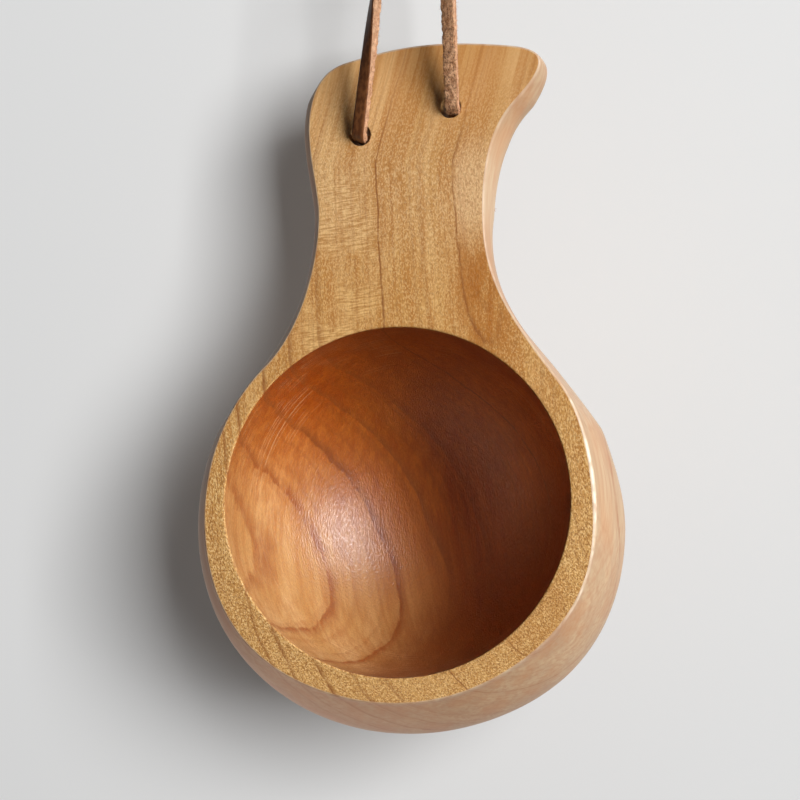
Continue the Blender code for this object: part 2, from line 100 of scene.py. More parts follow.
HANDLE_END = RIM_TOP + HANDLE_LENGTH

HOLE_RADIUS = 2.51
HOLE_LIP = 0.3
HOLE_SPACING = 22.4
HOLE_SLANT = 15.3
HOLES_MIDDLE = np.array([2.2, HANDLE_END - 18.2])

BOWL_STEPS, SIDE_STEPS, END_STEPS = 150, 72, 48
ROUND_STEPS, WALL_STEPS, BELLY_STEPS, CAVITY_STEPS, MOUTH_STEPS = 6, 16, 28, 56, 180
FACE_GRID = 1.3
FACE_GRID_RISE = 0.87
FACE_BORDER = 0.45
FACE_MARGIN = 1.1
SANDING_PASSES = 150
HAND_WAVE = 0.05

# The cup hangs tipped back, with its foot where the record's base mount has it
base = next(mount for mount in frame["record"]["mounts"] if mount["name"] == "base")
hang_tilt = math.atan2(-base["axis"][2], base["axis"][1])
tipped = Matrix.Rotation(-hang_tilt, 4, "X")
mouth_centre = Vector(base["pos_m"]) - tipped @ Vector((0.0, CUP_HEIGHT, BELLY_CENTRE[1])) * MM
cup_to_world = Matrix.Translation(mouth_centre) @ tipped @ Matrix.Scale(MM, 4)


def heading(degrees):
    angle = np.radians(degrees)
    return np.stack([np.cos(angle), np.sin(angle)], axis=-1)


def smooth(share):
    share = np.clip(share, 0.0, 1.0)
    return share * share * (3 - 2 * share)


def swell(degrees, swells):
    """How much fuller or leaner than a true circle the bowl is left, all round it."""
    fuller = 0.0
    for middle, width, amount in swells:
        share = (np.mod(degrees - middle + 180, 360) - 180) / width
        fuller = fuller + amount * np.exp(-(share**2))
    return fuller


def bezier(start, leave, arrive, stop, t):
    """A curve from start to stop, drawn towards leave and arrive on its way."""
    first = (1 - t) ** 3 * start + 3 * (1 - t) ** 2 * t * leave
    return first + 3 * (1 - t) * t**2 * arrive + t**3 * stop


def handle_outline():
    """The handle's edge in plan, from the right shoulder round its hooked end to the left."""
    fuller = RIM_RADIUS + swell(RIGHT_SHOULDER, RIM_SWELLS)
    right_shoulder = RIM_CENTRE + fuller * heading(RIGHT_SHOULDER)
    knots = [
        (right_shoulder, RIGHT_SHOULDER + 90, 0.0, 0.52),
        (np.array([NECK_RIGHT, RIM_TOP + NECK_RISE]), 90, 0.33, 0.57),
        (np.array([HOOK_RIGHT, HANDLE_END - 14.0]), 46, 0.21, 1.07),
        (np.array([HOOK_RIGHT - 3.5, HANDLE_END - 0.7]), 174, 0.60, 0.49),
        (np.array([END_LEFT + 9.1, HANDLE_END - 3.6]), 195, 0.32, 0.45),
        (np.array([END_LEFT, HANDLE_END - 19.5]), 270, 0.29, 0.34),
        (np.array([NECK_LEFT, RIM_TOP + NECK_RISE]), 270, 0.26, 0.33),
        (RIM_CENTRE + RIM_RADIUS * heading(LEFT_SHOULDER), LEFT_SHOULDER + 90, 0.29, 0.0),
    ]
    t = np.linspace(0, 1, 65)[:, None]
    stretches = []
    for (start, start_way, _, reach_on), (stop, stop_way, reach_back, _) in zip(knots, knots[1:]):
        gap = np.linalg.norm(stop - start)
        leave = start + heading(start_way) * reach_on * gap
        arrive = stop - heading(stop_way) * reach_back * gap
        stretches.append(bezier(start, leave, arrive, stop, t))
    return stretches


def along(stretches, shares):
    """Points at the given shares of the length of stretches that join."""
    line = np.concatenate([stretches[0], *[stretch[1:] for stretch in stretches[1:]]])
    run = np.concatenate([[0.0], np.cumsum(np.linalg.norm(np.diff(line, axis=0), axis=1))])
    wanted = np.asarray(shares) * run[-1]
    return np.stack([np.interp(wanted, run, line[:, 0]), np.interp(wanted, run, line[:, 1])], axis=1)


side_shares = 1 - (1 - np.linspace(0, 1, SIDE_STEPS + 1)) ** 1.5
end_shares = (1 - np.cos(np.pi * np.linspace(0, 1, END_STEPS + 1))) / 2


def face_outline():
    """The face's edge in plan, anticlockwise: bowl, right side, handle end and left side."""
    neck_in, neck_out, tip, crown, corner, left_side, left_neck = handle_outline()
    half = len(tip) // 2
    right = along([neck_in, neck_out, tip[: half + 1]], side_shares)
    end = along([tip[half:], crown, corner[: half + 1]], end_shares)
    left = along([corner[half:], left_side, left_neck], 1 - side_shares[::-1])
    turn = RIGHT_SHOULDER + 360 - LEFT_SHOULDER
    degrees = LEFT_SHOULDER + turn * np.arange(BOWL_STEPS) / BOWL_STEPS
    bowl = RIM_CENTRE + (RIM_RADIUS + swell(degrees, RIM_SWELLS))[:, None] * heading(degrees)
    return np.concatenate([bowl, right[:-1], end[:-1], left[:-1]])


def outward(line):
    run = np.roll(line, -1, axis=0) - np.roll(line, 1, axis=0)
    way = np.stack([run[:, 1], -run[:, 0]], axis=1)
    return way / np.linalg.norm(way, axis=1)[:, None]


face = face_outline()
ways = outward(face)
from_centre = (face - RIM_CENTRE) / np.linalg.norm(face - RIM_CENTRE, axis=1)[:, None]
on_handle = smooth((np.linalg.norm(face - RIM_CENTRE, axis=1) - RIM_RADIUS) / SHOULDER_BLEND)
on_handle[: BOWL_STEPS + 1] = 0.0
round_bowl = np.degrees(np.arctan2(from_centre[:, 1], from_centre[:, 0]))
bulge = BELLY_BULGE + swell(round_bowl, BELLY_SWELLS) - swell(round_bowl, RIM_SWELLS)
bowl_swell = BELLY_CENTRE - RIM_CENTRE + bulge[:, None] * from_centre
heights, bulges = zip(*SIDE_BULGES)
right_bulge = np.interp(face[:, 1] - RIM_TOP, heights, bulges)
left_bulge = np.minimum(LEFT_BULGE, np.interp(face[:, 1] - RIM_TOP, heights[-2:], bulges[-2:]))
side_swell = ways * np.where(ways[:, 0] > 0, right_bulge, left_bulge)[:, None]
edge = face + bowl_swell + (side_swell - bowl_swell) * on_handle[:, None]
above_rim = face[:, 1] - RIM_TOP
scoop = ROOT_SCOOP * smooth((above_rim - SCOOP_FROM) / SCOOP_RISE)
scoop *= smooth((SCOOP_TO - above_rim) / SCOOP_FADE)
edge -= ways * np.where(ways[:, 0] > 0, scoop, 0.0)[:, None]
edge_round = EDGE_ROUND + WORN_ROUND * np.exp(-(((round_bowl - WORN_MIDDLE) / WORN_WIDTH) ** 2))


def edge_distance(places):
    """How far places lie from the line where the walls end."""
    runs = np.roll(edge, -1, axis=0) - edge
    squares = np.maximum((runs**2).sum(axis=1), 1e-12)
    nearest = np.full(len(places), np.inf)
    for start, run, square in zip(edge, runs, squares):
        offsets = places - start
        shares = np.clip(offsets @ run / square, 0, 1)
        nearest = np.minimum(nearest, np.linalg.norm(offsets - shares[:, None] * run, axis=1))
    return nearest


def depth(places):
    """How deep the carved underside lies below the face: bowl and handle with a fillet between."""
    places = np.atleast_2d(places)
    core = FOOT_RADIUS - FOOT_ROUND
    foot_share = FOOT_ROUND / (BELLY_RADIUS - core)
    below_belly = (CUP_HEIGHT - BELLY_DEPTH) / math.sqrt(1 - foot_share**2)
    offsets = places - BELLY_CENTRE
    radius = np.linalg.norm(offsets, axis=1)
    degrees = np.degrees(np.arctan2(offsets[:, 1], offsets[:, 0]))
    belly = BELLY_RADIUS + swell(degrees, BELLY_SWELLS)
    share = np.clip((radius - core) / (belly - core), 0.0, 1.0)
    bowl = np.where(
        radius > belly - 0.01,
        BELLY_DEPTH - ROOT_RUN_OUT * (radius - belly),
        BELLY_DEPTH + below_belly * np.sqrt(1 - share**2),
    )
    up = np.clip((places[:, 1] - RIM_TOP) / HANDLE_LENGTH, 0.0, 1.0)
    thickness = HANDLE_ROOT_THICKNESS + (HANDLE_END_THICKNESS - HANDLE_ROOT_THICKNESS) * up
    share = np.clip(edge_distance(places) / HANDLE_UNDER_ROUND, 0.0, 1.0)
    crown = HANDLE_WALL_SHARE + (1 - HANDLE_WALL_SHARE) * np.sqrt(1 - (1 - share) ** 2)
    below_root = np.maximum(RIM_TOP - ROOT_REACH - places[:, 1], 0.0)
    handle = thickness * crown - ROOT_RUN_OUT * below_root
    overlap = np.maximum(ROOT_FILLET - np.abs(bowl - handle), 0.0)
    return np.maximum(bowl, handle) + overlap**2 / (4 * ROOT_FILLET)


class Carving:
    """Points and faces of the cup as they are laid down, row by row."""

    def __init__(self):
        self.points = np.zeros((0, 3))
        self.faces = []
        self.finishes = []

    def row(self, places, depths):
        start = len(self.points)
        depths = np.broadcast_to(depths, len(places))
        laid = np.stack([places[:, 0], depths, places[:, 1]], axis=1)
        self.points = np.concatenate([self.points, laid])
        return list(range(start, start + len(places)))

    def skin(self, row, next_row, closed=True):
        count = len(row)
        for i in range(count if closed else count - 1):
            k = (i + 1) % count
            self.faces.append((row[i], row[k], next_row[k], next_row[i]))

    def finish(self, number):
        self.finishes += [number] * (len(self.faces) - len(self.finishes))


def carve_outside(cup):
    """Rounded edge, walls, underside of handle and bowl, and the flat foot. Gives the face's edge."""
    edge_depths = depth(edge)
    edge_depths[: BOWL_STEPS + 1] = BELLY_DEPTH
    rows = []
    for angle in np.linspace(0, np.pi / 2, ROUND_STEPS + 1):
        inset = edge_round * (1 - math.sin(angle))
        rows.append(cup.row(face - ways * inset[:, None], edge_round * (1 - math.cos(angle))))
    for share in np.linspace(0, 1, WALL_STEPS + 1)[1:]:
        places = face + (edge - face) * math.sin(np.pi / 2 * share)
        rows.append(cup.row(places, edge_round + (edge_depths - edge_round) * share))
    for row, next_row in zip(rows, rows[1:]):
        cup.skin(row, next_row)
    wall = rows[-1]

    first, tip, corner = BOWL_STEPS, BOWL_STEPS + SIDE_STEPS, BOWL_STEPS + SIDE_STEPS + END_STEPS
    ring = list(range(len(edge))) + [0]
    sector = LEFT_SHOULDER - RIGHT_SHOULDER
    arc_degrees = RIGHT_SHOULDER + sector * end_shares
    belly = BELLY_RADIUS + swell(arc_degrees, BELLY_SWELLS)
    near = BELLY_CENTRE + belly[:, None] * heading(arc_degrees)
    right, far = edge[ring[first : tip + 1]], edge[ring[tip : corner + 1]]
    left = edge[ring[corner:][::-1]]
    grid = []
    for j, q in enumerate(side_shares):
        p = end_shares[:, None]
        sides = right[j] * (1 - p) + left[j] * p + near * (1 - q) + far * q
        corners = (near[0] * (1 - p) + near[-1] * p) * (1 - q) + (far[0] * (1 - p) + far[-1] * p) * q
        if j == SIDE_STEPS:
            grid.append([wall[i] for i in ring[tip : corner + 1]])
            continue
        inner = (sides - corners)[1:-1]
        grid.append(
            [wall[ring[first + j]], *cup.row(inner, depth(inner)), wall[ring[len(ring) - 1 - j]]]
        )
    for row, next_row in zip(grid, grid[1:]):
        cup.skin(row, next_row, closed=False)

    turn = 360 - sector
    degrees = np.concatenate(
        [LEFT_SHOULDER + turn * np.arange(BOWL_STEPS) / BOWL_STEPS, arc_degrees[:-1] + 360]
    )
    core = FOOT_RADIUS - FOOT_ROUND
    foot_angle = math.acos(FOOT_ROUND / (BELLY_RADIUS - core))
    below = wall[:BOWL_STEPS] + grid[0][:-1]
    for angle in np.linspace(0, foot_angle, BELLY_STEPS + 1)[1:]:
        reach = core + (BELLY_RADIUS + swell(degrees, BELLY_SWELLS) - core) * math.cos(angle)
        places = BELLY_CENTRE + reach[:, None] * heading(degrees)
        next_row = cup.row(places, depth(places))
        cup.skin(below, next_row)
        below = next_row
    for radius in (0.98, 0.75, 0.5, 0.25):
        next_row = cup.row(BELLY_CENTRE + FOOT_RADIUS * radius * heading(degrees), CUP_HEIGHT)
        cup.skin(below, next_row)
        below = next_row
    cup.faces.append(tuple(below))
    return rows[0]


def sand_root(cup):
    """The handle's root is sanded until the belly runs into it."""
    links = np.array([(f[i], f[i - 1]) for f in cup.faces for i in range(len(f))])
    ends = np.concatenate([links, links[:, ::-1]])
    degree = np.bincount(ends[:, 0], minlength=len(cup.points))[:, None]
    down, up = cup.points[:, 1], cup.points[:, 2]
    bite = smooth((down - 2 * EDGE_ROUND) / 5) * smooth((CUP_HEIGHT - FOOT_ROUND - down) / 8)
    bite *= smooth((up - RIM_TOP + ROOT_REACH) / 8) * smooth((RIM_TOP + NECK_RISE - up) / 8)
    for _ in range(SANDING_PASSES):
        total = np.zeros_like(cup.points)
        for axis in range(3):
            total[:, axis] = np.bincount(
                ends[:, 0], weights=cup.points[ends[:, 1], axis], minlength=len(cup.points)
            )
        cup.points += 0.5 * bite[:, None] * (total / degree - cup.points)


def carve_hollow(cup):
    """The hollow, from its rounded lip down to the middle of its bottom. Gives the lip's edge."""
    ring = heading(360 * np.arange(MOUTH_STEPS) / MOUTH_STEPS)
    rows = []
    for angle in np.linspace(0, np.pi / 2, ROUND_STEPS + 1):
        radius = MOUTH_RADIUS + MOUTH_ROUND * (1 - math.sin(angle))
        rows.append(cup.row(ring * radius, MOUTH_ROUND * (1 - math.cos(angle))))
    for angle in np.linspace(0, np.pi / 2, CAVITY_STEPS + 1)[1:-1]:
        sunk = math.sin(angle) ** (2 / CAVITY_FULLNESS)
        radius = MOUTH_RADIUS * math.cos(angle) ** (2 / CAVITY_FULLNESS)
        drop = MOUTH_ROUND + (CUP_HEIGHT - FLOOR_THICKNESS - MOUTH_ROUND) * sunk
        rows.append(cup.row(ring * radius, drop))
    for i, (row, next_row) in enumerate(zip(rows, rows[1:])):
        cup.skin(row, next_row)
        cup.finish(PLANED if i < ROUND_STEPS else TURNED)
    bottom = cup.row(np.zeros((1, 2)), CUP_HEIGHT - FLOOR_THICKNESS)[0]
    last = rows[-1]
    cup.faces += [(last[i], last[(i + 1) % MOUTH_STEPS], bottom) for i in range(MOUTH_STEPS)]
    return rows[0]


def inside(places, line):
    """Which places lie inside a closed line."""
    hits = np.zeros(len(places), int)
    for start, stop in zip(line, np.roll(line, -1, axis=0)):
        if start[1] != stop[1]:
            spans = (places[:, 1] < start[1]) != (places[:, 1] < stop[1])
            cross = start[0] + (places[:, 1] - start[1]) / (stop[1] - start[1]) * (stop[0] - start[0])
            hits += spans & (places[:, 0] < cross)
    return hits % 2 == 1


def plane_face(cup, outer, lip):
    """The flat face of rim and handle: an even net of small triangles between its two edges."""
    rings = [cup.points[row][:, [0, 2]] for row in (outer, lip)]
    within = rings[0] - outward(rings[0]) * FACE_BORDER
    around = rings[1] * (1 + FACE_BORDER / np.linalg.norm(rings[1][0]))
    low, high = rings[0].min(axis=0), rings[0].max(axis=0)
    columns = np.arange(low[0], high[0], FACE_GRID)
    rows = np.arange(low[1], high[1], FACE_GRID * FACE_GRID_RISE)
    xs, ys = np.meshgrid(columns, rows)
    xs[::2] += FACE_GRID / 2
    net = np.stack([xs.ravel(), ys.ravel()], axis=1)
    keep = inside(net, rings[0] - outward(rings[0]) * FACE_MARGIN)
    keep &= np.linalg.norm(net, axis=1) > np.linalg.norm(rings[1][0]) + FACE_MARGIN
    extra = np.concatenate([within, around, net[keep]])
    places = np.concatenate([*rings, extra])
    numbers = [*outer, *lip, *cup.row(extra, 0.0)]
    count = len(outer)
    borders = [(i, (i + 1) % count) for i in range(count)]
    borders += [(count + i, count + (i + 1) % len(lip)) for i in range(len(lip))]
    made = delaunay_2d_cdt([Vector(p) for p in places], borders, [], 0, 1e-6, True)
    triangles = np.array(made[2])
    found = np.array([ids[0] for ids in made[3]])
    middles = places[found[triangles]].mean(axis=1)
    keep = inside(middles, rings[0]) & ~inside(middles, rings[1])
    cup.faces += [tuple(numbers[found[k]] for k in triangle) for triangle in triangles[keep]]


def add(tree, kind, inputs=(), **options):
    """Adds a shader node, sets its options, links or sets its inputs and gives its outputs."""
    node = tree.nodes.new("ShaderNode" + kind)
    for option, value in options.items():
        setattr(node, option, value)
    for key, value in dict(inputs).items():
        if isinstance(value, bpy.types.NodeSocket):
            tree.links.new(value, node.inputs[key])
        else:
            node.inputs[key].default_value = value
    return node.outputs


def number(tree, operation, *values):
    return add(tree, "Math", dict(enumerate(values)), operation=operation)[0]


def step(tree, value, start, stop, low=0.0, high=1.0):
    """A smooth step of a value, from low at start to high at stop."""
    inputs = {"Value": value, "From Min": start, "From Max": stop, "To Min": low, "To Max": high}
    return add(tree, "MapRange", inputs, interpolation_type="SMOOTHSTEP")[0]


def mix(tree, share, first, second, blend="MIX"):
    made = add(tree, "Mix", {0: share, 6: first, 7: second}, data_type="RGBA", blend_type=blend)
    return made[2]


def grain_noise(tree, place, size, detail=1.0, offset=0.0):
    """Noise whose lumps measure size millimetres across, through and along the grain."""
    scale = [1 / length for length in size]
    shrunk = add(tree, "Mapping", {"Vector": place, "Location": (offset,) * 3, "Scale": scale})
    return add(tree, "TexNoise", {"Vector": shrunk[0], "Scale": 1.0, "Detail": detail})[0]


# The tree's heart ran up the handle's right half, bent by the limb that the block was cut from.
# Its growth lines are known by their distance from the heart: radius, strength, crisp and soft side.
HEART_ACROSS = (25.05, -7.89, 5.69, -1.68)
HEART_THROUGH = (8.32, 8.48, -15.4, 5.68)
HEART_STEP = 50.0
HEART_TURN = 80.0
HEART_LEAN = 0.27
HEART_LINE = 10.0
HEART_SQUASH = 0.96
GROWTH_LINES = (
    (8.5, 0.7, 0.15, 0.4), (15.6, 0.18, 0.25, 0.8), (24.6, 0.9, 0.25, 0.5), (31.6, 0.16, 0.2, 0.9),
    (39.3, 0.45, 0.3, 1.6), (46.0, 0.6, 0.3, 1.5), (52.6, 0.85, 0.3, 1.3), (59.0, 0.75, 0.3, 1.1),
    (62.8, 0.6, 0.3, 1.1), (67.4, 0.2, 0.3, 0.9), (72.3, 0.1, 0.3, 0.8), (78.0, 0.12, 0.3, 0.8),
)
HONEY = (0.500, 0.258, 0.085, 1)
PALE_WOOD = (0.585, 0.335, 0.135, 1)
HEARTWOOD = (0.380, 0.140, 0.028, 1)
SHEEN_PALE_WOOD = (0.640, 0.400, 0.205, 1)
LINE_BROWN = (0.220, 0.070, 0.017, 1)


def cup_place(tree):
    """Places in the cup's own millimetres: across, through and along the grain."""
    return add(tree, "Mapping", {
        "Vector": add(tree, "TexCoord")["Object"],
        "Location": cup_to_world.inverted().to_translation(),
        "Rotation": (hang_tilt, 0, 0),
        "Scale": (1 / MM,) * 3,
    })[0]


def growth_figure():
    """The wood itself, the same through the whole block: its colour, flecks, pores and fibres, with a painted
    sheen up the handle's neck.
    """
    tree = bpy.data.node_groups.new("growth_figure", "ShaderNodeTree")
    strength = tree.interface.new_socket("Line Strength", in_out="INPUT", socket_type="NodeSocketFloat")
    strength.default_value = 1.0
    tree.interface.new_socket("Colour", in_out="OUTPUT", socket_type="NodeSocketColor")
    for name in ("Line", "Fleck", "Pore", "Fibre", "Ripple", "Curl", "Core"):
        tree.interface.new_socket(name, in_out="OUTPUT", socket_type="NodeSocketFloat")
    given = tree.nodes.new("NodeGroupInput").outputs
    across, through, along_grain = add(tree, "SeparateXYZ", {0: cup_place(tree)})
    rise = number(tree, "DIVIDE", number(tree, "MINIMUM", along_grain, HEART_TURN), HEART_STEP)
    lean = number(tree, "MULTIPLY", number(tree, "MAXIMUM", along_grain, HEART_TURN), HEART_LEAN)
    across = number(tree, "SUBTRACT", across, number(tree, "SUBTRACT", lean, HEART_TURN * HEART_LEAN))
    from_heart = []
    for position, heart in ((across, HEART_ACROSS), (through, HEART_THROUGH)):
        bend = heart[3]
        for term in heart[2::-1]:
            bend = number(tree, "MULTIPLY_ADD", bend, rise, term)
        from_heart.append(number(tree, "SUBTRACT", position, bend))
    fibre_place = add(tree, "CombineXYZ", {0: from_heart[0], 1: from_heart[1], 2: along_grain})[0]
    squashed = number(tree, "MULTIPLY", from_heart[0], HEART_SQUASH)
    radius = add(tree, "VectorMath", {0: add(tree, "CombineXYZ", {0: squashed, 1: from_heart[1]})[0]},
                 operation="LENGTH")["Value"]
    wander = number(tree, "SUBTRACT", grain_noise(tree, fibre_place, (7, 7, 16), 2.0), 0.5)
    jog = number(tree, "SUBTRACT", grain_noise(tree, fibre_place, (0.8, 0.8, 2.4), 1.0, 7.0), 0.5)
    radius = number(tree, "MULTIPLY_ADD", wander, 1.5, number(tree, "MULTIPLY_ADD", jog, 0.4, radius))

    lines = 0.0
    broken = step(tree, grain_noise(tree, fibre_place, (3, 3, 5), 2.0, 3.0), 0.30, 0.55, 0.45, 1.0)
    for line, weight, crisp, soft in GROWTH_LINES:
        inner = step(tree, radius, line - soft, line)
        if line < HEART_LINE:
            inner = number(tree, "MULTIPLY", inner, step(tree, from_heart[0], 1.0, -1.0))
        outer = step(tree, radius, line, line + crisp, weight, 0.0)
        lines = number(tree, "MAXIMUM", lines, number(tree, "MULTIPLY", inner, outer))
    broken = number(tree, "MULTIPLY", broken, step(tree, along_grain, 98, 78, 0.35, 1.0))
    lines = number(tree, "MULTIPLY", number(tree, "MULTIPLY", lines, broken), given[0])

    band = number(tree, "FRACT", number(tree, "DIVIDE", radius, 6.5))
    cloud = grain_noise(tree, fibre_place, (9, 9, 30), 2.0, 11.0)
    pale = step(tree, number(tree, "MULTIPLY_ADD", band, -0.12, cloud), 0.30, 0.62)
    colour = mix(tree, pale, HONEY, PALE_WOOD)
    fibre = grain_noise(tree, fibre_place, (1.1, 1.1, 30), 3.0, 5.0)
    colour = mix(tree, step(tree, fibre, 0.35, 0.60, 0.46, 0.0), colour, HEARTWOOD)
    broad = grain_noise(tree, fibre_place, (3.4, 3.4, 70), 2.0, 29.0)
    colour = mix(tree, step(tree, broad, 0.46, 0.64, 0.0, 0.36), colour, HEARTWOOD)
    year = add(tree, "TexNoise", {"W": radius, "Scale": 0.9, "Detail": 3.0}, noise_dimensions="1D")[0]
    year = number(tree, "MULTIPLY", step(tree, year, 0.50, 0.68, 0.0, 0.20), given[0])
    lines = number(tree, "MAXIMUM", lines, year)
    streak = grain_noise(tree, fibre_place, (1.6, 1.6, 40), 2.0, 17.0)
    core = number(tree, "MULTIPLY", step(tree, radius, 12.5, 7.0), step(tree, along_grain, 74, 50, 0.08, 1.0))
    core = number(tree, "MULTIPLY", core, step(tree, streak, 0.36, 0.60, 0.40, 1.0))
    colour = mix(tree, core, colour, HEARTWOOD)
    # Painted sheen: a paler patch near the heart, up the handle's neck.
    sheen_patch = number(tree, "MULTIPLY", step(tree, radius, 9.0, 7.5), step(tree, along_grain, 56, 68, 0.0, 0.65))
    sheen_patch = number(tree, "MULTIPLY", sheen_patch, step(tree, along_grain, 90, 76))
    colour = mix(tree, sheen_patch, colour, SHEEN_PALE_WOOD)

    fleck = step(tree, grain_noise(tree, fibre_place, (0.34, 0.34, 0.62), 1.0), 0.46, 0.62)
    pore = step(tree, grain_noise(tree, fibre_place, (0.32, 0.32, 0.72), 1.0, 23.0), 0.50, 0.64)
    tilted = number(tree, "MULTIPLY_ADD", from_heart[0], -0.12, along_grain)
    ray_place = add(tree, "CombineXYZ", {0: from_heart[0], 1: from_heart[1], 2: tilted})[0]
    ripple = step(tree, grain_noise(tree, ray_place, (2.6, 0.8, 0.36), 2.0, 31.0), 0.40, 0.60)
    seen = number(tree, "MULTIPLY", step(tree, from_heart[0], -20, -30), step(tree, along_grain, 30, 40))
    seen = number(tree, "MULTIPLY", seen, step(tree, along_grain, 84, 72))
    patch = step(tree, grain_noise(tree, fibre_place, (9, 9, 9), 1.0, 41.0), 0.40, 0.60)
    curl = number(tree, "MULTIPLY", seen, patch)
    out = tree.nodes.new("NodeGroupOutput")
    for socket, value in zip(out.inputs, (colour, lines, fleck, pore, fibre, ripple, curl, core)):
        tree.links.new(value, socket)
    return tree


figure = growth_figure()


def wood_finish(name, line_strength):
    """A wood material that starts from the block's figure, still without its finish."""
    material = bpy.data.materials.new(name)
    material.use_nodes = True
    tree = material.node_tree
    grown = tree.nodes.new("ShaderNodeGroup")
    grown.node_tree = figure
    grown.inputs["Line Strength"].default_value = line_strength
    return material, tree, grown.outputs, tree.nodes["Principled BSDF"]


def bump(tree, height, depth_mm, strength=1.0):
    return add(tree, "Bump", {"Height": height, "Distance": depth_mm * MM, "Strength": strength})[0]


def planed_face():
    """The face of rim and handle, planed flat: it shows its cut fibres as pale and dark flecks."""
    material, tree, wood, shader = wood_finish("planed_wood", 1.0)
    height = add(tree, "SeparateXYZ", {0: add(tree, "TexCoord")["Object"]})[2]
    cut_across = step(tree, height, -0.095, -0.150)
    flat_cut = step(tree, height, -0.032, -0.062, 0.15, 1.0)
    colour = mix(tree, number(tree, "MULTIPLY", cut_across, 0.55), wood["Colour"], (0.55, 0.315, 0.12, 1))
    off_core = step(tree, wood["Core"], 0.0, 1.0, 0.40, 0.12)
    pale_share = number(tree, "MULTIPLY_ADD", cut_across, 0.36, off_core)
    pale_share = number(tree, "MULTIPLY", number(tree, "MULTIPLY", pale_share, flat_cut), wood["Fleck"])
    colour = mix(tree, pale_share, colour, (0.78, 0.55, 0.29, 1))
    dark_share = number(tree, "MULTIPLY_ADD", cut_across, 0.42, 0.40)
    dark_share = number(tree, "MULTIPLY", number(tree, "MULTIPLY", dark_share, flat_cut), wood["Pore"])
    colour = mix(tree, dark_share, colour, (0.26, 0.108, 0.030, 1))
    rippled = mix(tree, wood["Ripple"], (0.42, 0.21, 0.070, 1), (0.76, 0.50, 0.24, 1))
    colour = mix(tree, number(tree, "MULTIPLY", wood["Curl"], 0.55), colour, rippled)
    handled = step(tree, height, -0.066, -0.090)
    colour = mix(tree, handled, colour, (0.97, 0.92, 0.78, 1), "MULTIPLY")
    colour = mix(tree, wood["Line"], colour, LINE_BROWN)
    tree.links.new(colour, shader.inputs["Base Color"])
    relief = number(tree, "MULTIPLY", number(tree, "SUBTRACT", wood["Fleck"], wood["Pore"]), flat_cut)
    tree.links.new(bump(tree, relief, 0.012), shader.inputs["Normal"])
    tree.links.new(step(tree, wood["Fibre"], 0.3, 0.7, 0.46, 0.58), shader.inputs["Roughness"])
    shader.inputs["Specular IOR Level"].default_value = 0.15
    return material


def sanded_side():
    """Walls, underside and foot, carved and sanded to a soft sheen that hides the fibres."""
    material, tree, wood, shader = wood_finish("sanded_wood", 0.75)
    place = cup_place(tree)
    colour = mix(tree, 0.50, wood["Colour"], (0.375, 0.325, 0.255, 1))
    colour = mix(tree, step(tree, wood["Fibre"], 0.3, 0.6, 0.34, 0.0), colour, (0.42, 0.19, 0.080, 1))
    blotch = grain_noise(tree, place, (7, 7, 22), 2.0, 3.0)
    colour = mix(tree, step(tree, blotch, 0.44, 0.68, 0.0, 0.45), colour, (0.44, 0.21, 0.095, 1))
    colour = mix(tree, wood["Line"], colour, (0.30, 0.115, 0.042, 1))
    across, sunk, _ = add(tree, "SeparateXYZ", {0: place})
    # Paler and smoother along the face's edge, most on the right where the light falls: partly wear, partly a
    # painted highlight.
    wear_and_highlight = step(tree, grain_noise(tree, place, (2.2, 2.2, 3.5), 2.0, 37.0), 0.36, 0.60, 0.35, 1.0)
    wear_and_highlight = number(tree, "MULTIPLY", wear_and_highlight, step(tree, sunk, 1.0, 0.2))
    wear_and_highlight = number(tree, "MULTIPLY", wear_and_highlight, step(tree, across, 38, 44, 0.22, 0.85))
    colour = mix(tree, wear_and_highlight, colour, (0.78, 0.62, 0.46, 1))
    tree.links.new(colour, shader.inputs["Base Color"])
    tool = grain_noise(tree, place, (9, 9, 9), 1.0)
    relief = number(tree, "MULTIPLY_ADD", wood["Fibre"], 0.15, tool)
    tree.links.new(bump(tree, relief, 0.10), shader.inputs["Normal"])
    tree.links.new(step(tree, wear_and_highlight, 0.0, 0.8, 0.44, 0.28), shader.inputs["Roughness"])
    shader.inputs["Specular IOR Level"].default_value = 0.25
    return material


